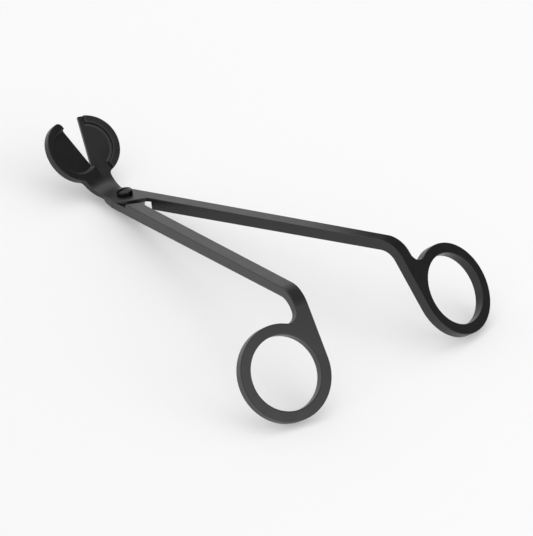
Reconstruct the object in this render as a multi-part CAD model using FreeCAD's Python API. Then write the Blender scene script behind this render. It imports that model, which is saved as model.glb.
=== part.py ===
import FreeCAD, Part
import math
import os

Vector = FreeCAD.Vector

# Wick trimmer: two crossing levers on one pivot screw. Lengths are in mm, angles in degrees.
#
# Each lever is drawn in its own frame: Z is the pivot axis, X runs from the pivot to the elbow,
# and Y runs outwards, away from the plane where the closed levers meet. The trimmer is then set
# down as it stands on a table, on both finger rings and on the underside of the lower neck.

# ---- driving dimensions ----
HALF_OPENING = 10.64       # each lever from the middle plane, at rest
STANCE_PITCH = 13.95       # how far the arms rise from the pivot to the elbow
SIDE_GAP = 0.15            # flat inner side of a lever to the middle plane, when closed

ARM_LENGTH = 119.0         # pivot axis to the corner of the elbow, at mid thickness
ARM_WIDTH = 5.1
TOP_AT_PIVOT = 2.1
BOTTOM_AT_PIVOT = -2.5
HALF_THICK_AT_ELBOW = 1.9
ELBOW_ANGLE = 61.0         # down from the arm
ELBOW_RADIUS_TOP = 9.8
ELBOW_RADIUS_BOTTOM = 6.4

RING_RADIUS = 17.05
FINGER_HOLE_RADIUS = 13.2
RING_DISTANCE = 24.5       # elbow corner to ring centre, along the handle
HOOK_RADIUS = 3.8          # hollow between the shank's outer side and the ring

LAP_LEVEL = 0.5            # height where the levers slide on each other
LAP_CLEARANCE = 0.04
STEP_OUTER_X = 9.2         # end of the half lap, at the outer and inner side of the arm
STEP_INNER_X = 12.0
STEP_CORNER_X = 11.4
LEVEL_UNTIL = 14.0         # the arm starts to taper here
NECK_BACK = 4.0            # half width of a neck, on the side away from the cutting edge
NECK_END_X = -15.5         # the neck is joined to its blade before this

BLADE_TILT = 54.6          # up from the arm
BLADE_CENTRE_X = -22.5
BLADE_CENTRE_Z = 15.3      # height of the upper blade's floor at its centre
BLADE_RADIUS = 12.1
WALL_INNER_RADIUS = 9.25
WALL_FOOT_RADIUS = 1.05
WALL_HEIGHT = 1.4
UPPER_PLATE = 1.1          # thickness of each blade's floor
LOWER_PLATE = 1.3
BLADE_SPACING = 0.55       # between the two closed blades, along their normal
STUB_LENGTH = 8.0
EDGE_ROOT = 9.3            # the cutting edge starts here, below the centre of the blade
UPPER_EDGE = (4.45, 1.35)  # how far each edge passes the middle plane, at root and tip
LOWER_EDGE = (2.3, -0.75)
UPPER_TIP_ROUNDING = 2.2
LEDGE = 1.9                # bare plate between the lower blade's edge and its wall, at the tip
WALL_END = [(6.5, -4.25), (15.7, -6.95)]   # line of the end face of the lower blade's wall, by the neck

SCREW_RADIUS = 2.2
SCREW_CLEARANCE = 0.05
SCREW_HEAD_RADIUS = 3.0
SCREW_HEAD_HEIGHT = 2.1
SCREW_DOME = 0.6
SLOT_WIDTH = 1.0
SLOT_DEPTH = 0.9
SLOT_TURN = 83.0           # slot direction from the middle plane
RIVET_RADIUS = 2.8
RIVET_HEIGHT = 0.35

EDGE_ROUNDING = 0.3
WALL_TOP_ROUNDING = 0.4    # lower blade
REACH = 60.0               # longer than any part of the head or handle

OUTER_SIDE = SIDE_GAP + ARM_WIDTH
BLADE_FLOOR_DROP = UPPER_PLATE + BLADE_SPACING   # from the upper blade's floor to the lower blade's


# ---- helpers ----
def point(x, y):
    return Vector(x, y, 0)


def corner_arc(before, corner, after, radius):
    """Start, middle and end of the arc that rounds a corner."""
    back = (before - corner).normalize()
    ahead = (after - corner).normalize()
    half = back.getAngle(ahead) / 2
    inward = (back + ahead).normalize()
    centre = corner + inward * (radius / math.sin(half))
    reach = radius / math.tan(half)
    return corner + back * reach, centre - inward * radius, corner + ahead * reach


def closed_face(corners):
    """Face from corners (x, y) or (x, y, rounding radius)."""
    places = [point(spec[0], spec[1]) for spec in corners]
    stretches = []
    for i, spec in enumerate(corners):
        if len(spec) == 3:
            stretches.append(corner_arc(places[i - 1], places[i], places[(i + 1) % len(places)], spec[2]))
        else:
            stretches.append((places[i],))
    edges = []
    for i, stretch in enumerate(stretches):
        following = stretches[(i + 1) % len(stretches)]
        if len(stretch) == 3:
            edges.append(Part.Arc(*stretch).toShape())
        edges.append(Part.LineSegment(stretch[-1], following[0]).toShape())
    return Part.Face(Part.Wire(edges))


def prism(corners, bottom, top):
    """Solid of a plan outline between two heights."""
    face = closed_face(corners)
    face.translate(Vector(0, 0, bottom))
    return face.extrude(Vector(0, 0, top - bottom))


def side_profile(corners, inner, outer):
    """Solid of an outline drawn in X and Z, between two values of Y."""
    face = closed_face(corners)
    face.rotate(Vector(0, 0, 0), Vector(1, 0, 0), 90)
    face.translate(Vector(0, inner, 0))
    return face.extrude(Vector(0, outer - inner, 0))


def cylinder(radius, bottom, top, x=0.0, y=0.0):
    return Part.makeCylinder(radius, top - bottom, Vector(x, y, bottom))


def slope_frame(x, z, angle):
    """Frame at x, z whose X runs down a slope by an angle and whose Z is the slope's normal."""
    return FreeCAD.Placement(Vector(x, 0, z), FreeCAD.Rotation(Vector(0, 1, 0), angle))


def moved(shape, placement):
    copy = shape.copy()
    copy.Placement = placement.multiply(copy.Placement)
    return copy


def along(frame, distance, offset):
    """X and Z of a point in a slope frame."""
    place = frame.multVec(Vector(distance, 0, offset))
    return place.x, place.z


def single(shape):
    """The one solid of a result, with split faces joined."""
    solid = shape.removeSplitter()
    return solid.Solids[0] if len(solid.Solids) == 1 else solid


def round_upright(shape, radius, x, y):
    """Rounds the upright edge that stands nearest to x, y."""
    def distance(edge):
        box = edge.BoundBox
        return math.hypot(box.Center.x - x, box.Center.y - y)
    upright = [edge for edge in shape.Edges if edge.BoundBox.ZLength > 1 and edge.BoundBox.DiagonalLength
               < edge.BoundBox.ZLength + 0.01]
    return shape.makeFillet(radius, [min(upright, key=distance)])


# ---- arm, elbow and finger ring ----
HANDLE = slope_frame(ARM_LENGTH, 0, ELBOW_ANGLE)


def arm_profile():
    """Side view of the arm and the handle below its elbow."""
    half = HALF_THICK_AT_ELBOW
    spread = half * math.tan(math.radians(ELBOW_ANGLE / 2))
    start = STEP_OUTER_X - 1
    return [(start, TOP_AT_PIVOT), (LEVEL_UNTIL, TOP_AT_PIVOT),
            (ARM_LENGTH + spread, half, ELBOW_RADIUS_TOP), along(HANDLE, REACH, half),
            along(HANDLE, REACH, -half), (ARM_LENGTH - spread, -half, ELBOW_RADIUS_BOTTOM),
            (LEVEL_UNTIL, BOTTOM_AT_PIVOT), (start, BOTTOM_AT_PIVOT)]


def handle_plan():
    """Shank and ring seen square to the handle; X runs down the handle from the elbow's corner."""
    ring_y = SIDE_GAP + RING_RADIUS
    hook_y = OUTER_SIDE + HOOK_RADIUS
    hook_x = RING_DISTANCE - math.sqrt((RING_RADIUS + HOOK_RADIUS) ** 2 - (ring_y - hook_y) ** 2)
    hook = point(hook_x, hook_y)
    towards = (point(RING_DISTANCE, ring_y) - hook).normalize()
    hook_end = hook + towards * HOOK_RADIUS
    hook_middle = hook + (towards + Vector(0, -1, 0)).normalize() * HOOK_RADIUS
    hook_start = point(hook_x, OUTER_SIDE)
    tangent = point(RING_DISTANCE, SIDE_GAP)
    far = point(RING_DISTANCE + RING_RADIUS, ring_y)
    inner_start = point(-ELBOW_RADIUS_TOP, SIDE_GAP)
    outer_start = point(-ELBOW_RADIUS_TOP, OUTER_SIDE)
    edges = [Part.LineSegment(inner_start, tangent).toShape(),
             Part.Arc(tangent, far, hook_end).toShape(),
             Part.Arc(hook_end, hook_middle, hook_start).toShape(),
             Part.LineSegment(hook_start, outer_start).toShape(),
             Part.LineSegment(outer_start, inner_start).toShape()]
    plan = Part.Face(Part.Wire(edges))
    plan.translate(Vector(0, 0, -REACH / 2))
    hole = cylinder(FINGER_HOLE_RADIUS, -REACH, REACH, RING_DISTANCE, ring_y)
    return plan.extrude(Vector(0, 0, REACH)).cut(hole)


def arm_and_ring():
    """Full-height bar from the step of the half lap to the far side of the ring."""
    side = side_profile(arm_profile(), -1, 2 * RING_RADIUS + 2)
    arm_end = ARM_LENGTH - ELBOW_RADIUS_TOP
    strip = [(STEP_OUTER_X, OUTER_SIDE), (STEP_CORNER_X, SIDE_GAP + 1.2, 1.0), (STEP_INNER_X, SIDE_GAP),
             (arm_end, SIDE_GAP), (arm_end, OUTER_SIDE)]
    arm = side.common(prism(strip, -REACH, REACH))
    handle = side.common(moved(handle_plan(), HANDLE))
    return single(arm.fuse(handle))


# ---- heads ----
BLADE = slope_frame(BLADE_CENTRE_X, BLADE_CENTRE_Z, BLADE_TILT)


def slope_at(level, offset):
    """X where the blade plane, moved by an offset along its normal, comes down to a level."""
    tilt = math.radians(BLADE_TILT)
    height = BLADE_CENTRE_Z + offset / math.cos(tilt)
    return BLADE_CENTRE_X + (height - level) / math.tan(tilt)


def head_side(top, top_offset, top_radius, bottom, bottom_offset, bottom_radius):
    """A half lap that bends up into its blade, seen from the side and extruded across."""
    profile = [(LEVEL_UNTIL, top), (slope_at(top, top_offset), top, top_radius),
               along(BLADE, -REACH / 2, top_offset), along(BLADE, -REACH / 2, bottom_offset),
               (slope_at(bottom, bottom_offset), bottom, bottom_radius), (LEVEL_UNTIL, bottom)]
    return side_profile(profile, -REACH / 2, REACH / 2)


def neck_prism(edge_side):
    """Lap and neck; edge_side is the outline that runs on into the cutting edge."""
    plan = [(LEVEL_UNTIL, OUTER_SIDE), (-2, OUTER_SIDE, 8)] + edge_side
    plan += [(NECK_END_X, edge_side[-1][1]), (NECK_END_X, -NECK_BACK), (-8.5, -NECK_BACK, 12), (-1.5, -5.8, 6),
             (4.5, -5.7, 3.5), (10.4, SIDE_GAP, 1.5), (LEVEL_UNTIL, SIDE_GAP)]
    return prism(plan, -REACH, REACH)


def edge_line(edge, x):
    """Y of a straight cutting edge, from its values at root and tip."""
    root_y, tip_y = edge
    return root_y - (EDGE_ROOT - x) * (root_y - tip_y) / (EDGE_ROOT + BLADE_RADIUS)


def stub(edge):
    """Straight piece between the half disc and the neck."""
    start = EDGE_ROOT - 1.5
    return prism([(start, edge_line(edge, start)), (EDGE_ROOT, edge[0]), (EDGE_ROOT + STUB_LENGTH, edge[0]),
                  (EDGE_ROOT + STUB_LENGTH, -NECK_BACK), (start, -NECK_BACK)], -8, 8)


def blade_plan(edge):
    """Disc cut off along its edge, with the start of the neck."""
    far = 1.3 * BLADE_RADIUS
    kept = [(EDGE_ROOT, edge[0]), (far, edge[0]), (far, -far), (-far, -far), (-far, edge_line(edge, -far))]
    disc = cylinder(BLADE_RADIUS, -8, 8).common(prism(kept, -8, 8))
    plan = single(disc.fuse(stub(edge)))
    return round_upright(plan, 2.0, math.sqrt(BLADE_RADIUS ** 2 - NECK_BACK ** 2), -NECK_BACK)


def recess(floor):
    """Round dish with a rounded foot, cut down to a floor height."""
    dish = cylinder(WALL_INNER_RADIUS, floor, floor + 8)
    foot = [edge for edge in dish.Edges if edge.BoundBox.ZMax < floor + 0.01 and len(edge.Vertexes) == 1]
    return dish.makeFillet(WALL_FOOT_RADIUS, foot)


def upper_head():
    side = head_side(TOP_AT_PIVOT, WALL_HEIGHT, 10.0, LAP_LEVEL + LAP_CLEARANCE, -UPPER_PLATE, 14.0)
    neck = neck_prism([(-9, UPPER_EDGE[0], 8)])
    plan = round_upright(blade_plan(UPPER_EDGE), UPPER_TIP_ROUNDING, -BLADE_RADIUS, UPPER_EDGE[1])
    head = side.common(neck).fuse(side.common(moved(plan, BLADE)))
    return single(head.cut(moved(recess(0.0), BLADE)))


def lower_head():
    floor = -BLADE_FLOOR_DROP
    side = head_side(LAP_LEVEL, floor, 12.6, BOTTOM_AT_PIVOT, floor - LOWER_PLATE, 16.0)
    neck = neck_prism([(-9, 4.2, 4), (-13, LOWER_EDGE[0], 3)])
    head = side.common(neck).fuse(side.common(moved(blade_plan(LOWER_EDGE), BLADE)))
    far = 1.3 * BLADE_RADIUS
    wall_plan = [(0, edge_line(LOWER_EDGE, 0) - LEDGE), WALL_END[0], WALL_END[1], (far, -far), (-far, -far),
                 (-far, edge_line(LOWER_EDGE, -far) - LEDGE)]
    ring = cylinder(BLADE_RADIUS, floor - LOWER_PLATE / 2, floor + WALL_HEIGHT)
    wall = ring.common(prism(wall_plan, -8, 8)).cut(recess(floor))
    return single(head.fuse(moved(wall, BLADE)))


# ---- levers ----
def sharp_edges(shape):
    """Edges where two faces meet at more than 25 degrees."""
    found = []
    for edge in shape.Edges:
        middle = edge.valueAt((edge.FirstParameter + edge.LastParameter) / 2)
        faces = shape.ancestorsOfType(edge, Part.Face)
        normals = [face.normalAt(*face.Surface.parameter(middle)) for face in faces]
        if len(normals) == 2 and math.degrees(normals[0].getAngle(normals[1])) > 25:
            found.append(edge)
    return found


def is_outside_edge(edge):
    """True for an edge of the visible outline, not one of the half lap, its step or the bore."""
    box = edge.BoundBox
    in_lap = box.XMin > -8.6 and box.XMax < LEVEL_UNTIL + 0.1
    at_bore = box.DiagonalLength < 3.5 * SCREW_RADIUS and math.hypot(box.Center.x, box.Center.y) < 0.1
    at_lap = in_lap and abs(box.ZMax - LAP_LEVEL) < 0.35 and box.ZLength < 0.4
    at_step = box.XMin > STEP_OUTER_X - 0.2 and box.XMax < STEP_INNER_X + 0.1
    return not (at_bore or at_lap or at_step)


def upper_lever():
    lever = single(upper_head().fuse(arm_and_ring()))
    lever = lever.makeFillet(EDGE_ROUNDING, [edge for edge in sharp_edges(lever) if is_outside_edge(edge)])
    return single(lever.cut(cylinder(SCREW_RADIUS + SCREW_CLEARANCE, -REACH, REACH)))


def is_on_arm(edge):
    return is_outside_edge(edge) and edge.BoundBox.XMax > LEVEL_UNTIL


def is_on_wall_top(edge):
    heights = [BLADE.inverse().multVec(vertex.Point).z for vertex in edge.Vertexes]
    return max(abs(height - WALL_HEIGHT + BLADE_FLOOR_DROP) for height in heights) < 0.01


def lower_lever():
    lever = single(lower_head().fuse(arm_and_ring()))
    for is_chosen, radius in ((is_on_arm, EDGE_ROUNDING), (is_on_wall_top, WALL_TOP_ROUNDING)):
        lever = lever.makeFillet(radius, [edge for edge in sharp_edges(lever) if is_chosen(edge)])
    lever = single(lever.cut(cylinder(SCREW_RADIUS, -REACH, REACH)))
    return lever.mirror(Vector(0, 0, 0), Vector(0, 1, 0))


# ---- pivot screw ----
def pivot_screw():
    """Slotted head on the upper lever, shank through both, end riveted under the lower lever."""
    head_top = TOP_AT_PIVOT + SCREW_HEAD_HEIGHT
    dome = SCREW_HEAD_RADIUS ** 2 / (2 * SCREW_DOME) + SCREW_DOME / 2
    head = cylinder(SCREW_HEAD_RADIUS, TOP_AT_PIVOT, head_top)
    head = head.common(Part.makeSphere(dome, Vector(0, 0, head_top - dome)))
    head = head.makeFillet(EDGE_ROUNDING, sharp_edges(head))
    shank = cylinder(SCREW_RADIUS, BOTTOM_AT_PIVOT - RIVET_HEIGHT, TOP_AT_PIVOT + 0.5)
    rivet = Part.makeCone(RIVET_RADIUS - RIVET_HEIGHT, RIVET_RADIUS, RIVET_HEIGHT,
                          Vector(0, 0, BOTTOM_AT_PIVOT - RIVET_HEIGHT))
    slot = Part.makeBox(4 * SCREW_HEAD_RADIUS, SLOT_WIDTH, 2 * SLOT_DEPTH,
                        Vector(-2 * SCREW_HEAD_RADIUS, -SLOT_WIDTH / 2, head_top - SLOT_DEPTH))
    slot.rotate(Vector(0, 0, 0), Vector(0, 0, 1), SLOT_TURN)
    return single(head.fuse([shank, rivet]).cut(slot))


# ---- assembly as it stands on a table ----
def hand_over():
    parts = {"upper_lever": upper_lever(), "lower_lever": lower_lever(), "pivot_screw": pivot_screw()}
    parts["upper_lever"].rotate(Vector(0, 0, 0), Vector(0, 0, 1), HALF_OPENING)
    parts["lower_lever"].rotate(Vector(0, 0, 0), Vector(0, 0, 1), -HALF_OPENING)
    for shape in parts.values():
        shape.rotate(Vector(0, 0, 0), Vector(0, 1, 0), -STANCE_PITCH)
    box = FreeCAD.BoundBox()
    for shape in parts.values():
        box.add(shape.optimalBoundingBox(False))
    shift = Vector(-box.Center.x, -box.Center.y, -box.ZMin)
    os.makedirs("parts", exist_ok=True)
    for name, shape in parts.items():
        shape.translate(shift)
        shape.exportStep("parts/" + name + ".step")


hand_over()
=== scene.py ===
import bpy
import math
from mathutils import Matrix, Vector

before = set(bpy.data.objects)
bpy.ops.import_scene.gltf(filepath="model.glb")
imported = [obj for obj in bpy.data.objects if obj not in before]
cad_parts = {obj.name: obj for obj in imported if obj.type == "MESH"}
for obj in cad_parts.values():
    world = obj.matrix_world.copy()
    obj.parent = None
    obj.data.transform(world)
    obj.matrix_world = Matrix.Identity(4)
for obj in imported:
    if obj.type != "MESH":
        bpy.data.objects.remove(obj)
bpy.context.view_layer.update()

# Lengths are in metres and angles in degrees, unless a name says otherwise.
SENSOR_MM = 36.0
LENS_MM = 234.3183
CAMERA_PLACE = (0.74511, -0.74053, 0.69249)
CAMERA_TURN = (56.625, -3.425, 46.539)

# noise scales, in cells per metre
TONE_SCALE = 90
GLOSS_SCALE = 240
GRAIN_SCALE = 2600
GLOSS_DRIFT = 0.035
GRAIN_STRENGTH = 0.35
SOFTENED_EDGE_RADIUS = 0.00025

TABLE_SIZE = 8
TABLE_ALBEDO = 0.6
TABLE_GLOW = 0.26
SKY_STRENGTH = 0.95


# ---- materials ----
def noise(tree, coords, scale, detail):
    node = tree.nodes.new("ShaderNodeTexNoise")
    node.inputs["Scale"].default_value = scale
    node.inputs["Detail"].default_value = detail
    tree.links.new(coords, node.inputs["Vector"])
    return node.outputs["Fac"]


def spread(tree, value, low, high):
    """Maps the middle of a noise onto a range."""
    node = tree.nodes.new("ShaderNodeMapRange")
    node.inputs["From Min"].default_value = 0.3
    node.inputs["From Max"].default_value = 0.7
    node.inputs["To Min"].default_value = low
    node.inputs["To Max"].default_value = high
    tree.links.new(value, node.inputs["Value"])
    return node.outputs["Result"]


def coated_steel(name, dark, light, roughness, metallic, grain_height):
    """Satin coat on steel: fine orange peel, a slight drift of tone and gloss, and softened edges."""
    material = bpy.data.materials.new(name)
    material.use_nodes = True
    tree = material.node_tree
    shader = tree.nodes["Principled BSDF"]
    shader.inputs["Metallic"].default_value = metallic
    shader.inputs["IOR"].default_value = 1.5
    coords = tree.nodes.new("ShaderNodeTexCoord").outputs["Object"]

    tone = tree.nodes.new("ShaderNodeMix")
    tone.data_type = "RGBA"
    tone.inputs[6].default_value = (*dark, 1)
    tone.inputs[7].default_value = (*light, 1)
    tree.links.new(spread(tree, noise(tree, coords, TONE_SCALE, 4), 0, 1), tone.inputs[0])
    tree.links.new(tone.outputs[2], shader.inputs["Base Color"])

    gloss_noise = noise(tree, coords, GLOSS_SCALE, 5)
    gloss = spread(tree, gloss_noise, roughness - GLOSS_DRIFT, roughness + GLOSS_DRIFT)
    tree.links.new(gloss, shader.inputs["Roughness"])

    softened = tree.nodes.new("ShaderNodeBevel")
    softened.samples = 6
    softened.inputs["Radius"].default_value = SOFTENED_EDGE_RADIUS
    bump = tree.nodes.new("ShaderNodeBump")
    bump.inputs["Strength"].default_value = GRAIN_STRENGTH
    bump.inputs["Distance"].default_value = grain_height
    tree.links.new(noise(tree, coords, GRAIN_SCALE, 2), bump.inputs["Height"])
    tree.links.new(softened.outputs["Normal"], bump.inputs["Normal"])
    tree.links.new(bump.outputs["Normal"], shader.inputs["Normal"])
    return material


def give(node, material):
    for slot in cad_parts[node].material_slots:
        slot.material = material


coat = coated_steel("satin_black_coat", dark=(0.0085, 0.0085, 0.0082), light=(0.012, 0.012, 0.0115),
                    roughness=0.34, metallic=0.0, grain_height=0.00002)
oxide = coated_steel("black_screw", dark=(0.035, 0.035, 0.034), light=(0.055, 0.055, 0.053),
                     roughness=0.26, metallic=1.0, grain_height=0.00001)
give("upper_lever", coat)
give("lower_lever", coat)
give("pivot_screw", oxide)


# ---- table, cards and lights ----
def plain(name, colour, glow=0.0):
    material = bpy.data.materials.new(name)
    material.use_nodes = True
    shader = material.node_tree.nodes["Principled BSDF"]
    shader.inputs["Base Color"].default_value = (*colour, 1)
    shader.inputs["Roughness"].default_value = 1.0
    shader.inputs["Specular IOR Level"].default_value = 0.0
    shader.inputs["Emission Color"].default_value = (1, 1, 1, 1)
    shader.inputs["Emission Strength"].default_value = glow
    return material


def sheet(name, width, height, place, turn, material):
    bpy.ops.mesh.primitive_plane_add(size=1, location=place, rotation=[math.radians(a) for a in turn])
    card = bpy.context.object
    card.name = name
    card.scale = (width, height, 1)
    card.data.materials.append(material)
    return card


def reflected_only(card):
    """Keeps a card out of the picture, except as what the glossy coat mirrors."""
    card.visible_camera = False
    card.visible_diffuse = False
    card.visible_shadow = False


table_white = plain("table_white", (TABLE_ALBEDO, TABLE_ALBEDO, TABLE_ALBEDO), TABLE_GLOW)
sheet("table", TABLE_SIZE, TABLE_SIZE, (0, 0, 0), (0, 0, 0), table_white)
black = plain("card_black", (0, 0, 0))
reflected_only(sheet("dark_card", 0.55, 0.5, (0.18, 0.13, 0.22), (90, 0, 0), black))

world = bpy.data.worlds.new("soft_white")
world.use_nodes = True
world.node_tree.nodes["Background"].inputs["Color"].default_value = (1, 1, 1, 1)
world.node_tree.nodes["Background"].inputs["Strength"].default_value = SKY_STRENGTH
bpy.context.scene.world = world


def softbox(name, place, target, size, power):
    light = bpy.data.lights.new(name, "AREA")
    light.shape = "RECTANGLE"
    light.size = size[0]
    light.size_y = size[1]
    light.energy = power
    lamp = bpy.data.objects.new(name, light)
    bpy.context.collection.objects.link(lamp)
    lamp.location = place
    lamp.rotation_euler = (Vector(target) - Vector(place)).to_track_quat("-Z", "Y").to_euler()


softbox("overhead_softbox", (-0.35, 0.25, 0.9), (0, 0, 0), (0.8, 0.8), 1.5)
softbox("handle_side_softbox", (1.1, 0.4, 0.45), (0, 0, 0.02), (1.0, 1.0), 5.0)


# ---- camera ----
camera_data = bpy.data.cameras.new("camera")
camera_data.sensor_width = SENSOR_MM
camera_data.lens = LENS_MM
camera = bpy.data.objects.new("camera", camera_data)
bpy.context.collection.objects.link(camera)
camera.location = CAMERA_PLACE
camera.rotation_euler = [math.radians(angle) for angle in CAMERA_TURN]
bpy.context.scene.camera = camera
bpy.context.scene.view_settings.view_transform = "Standard"
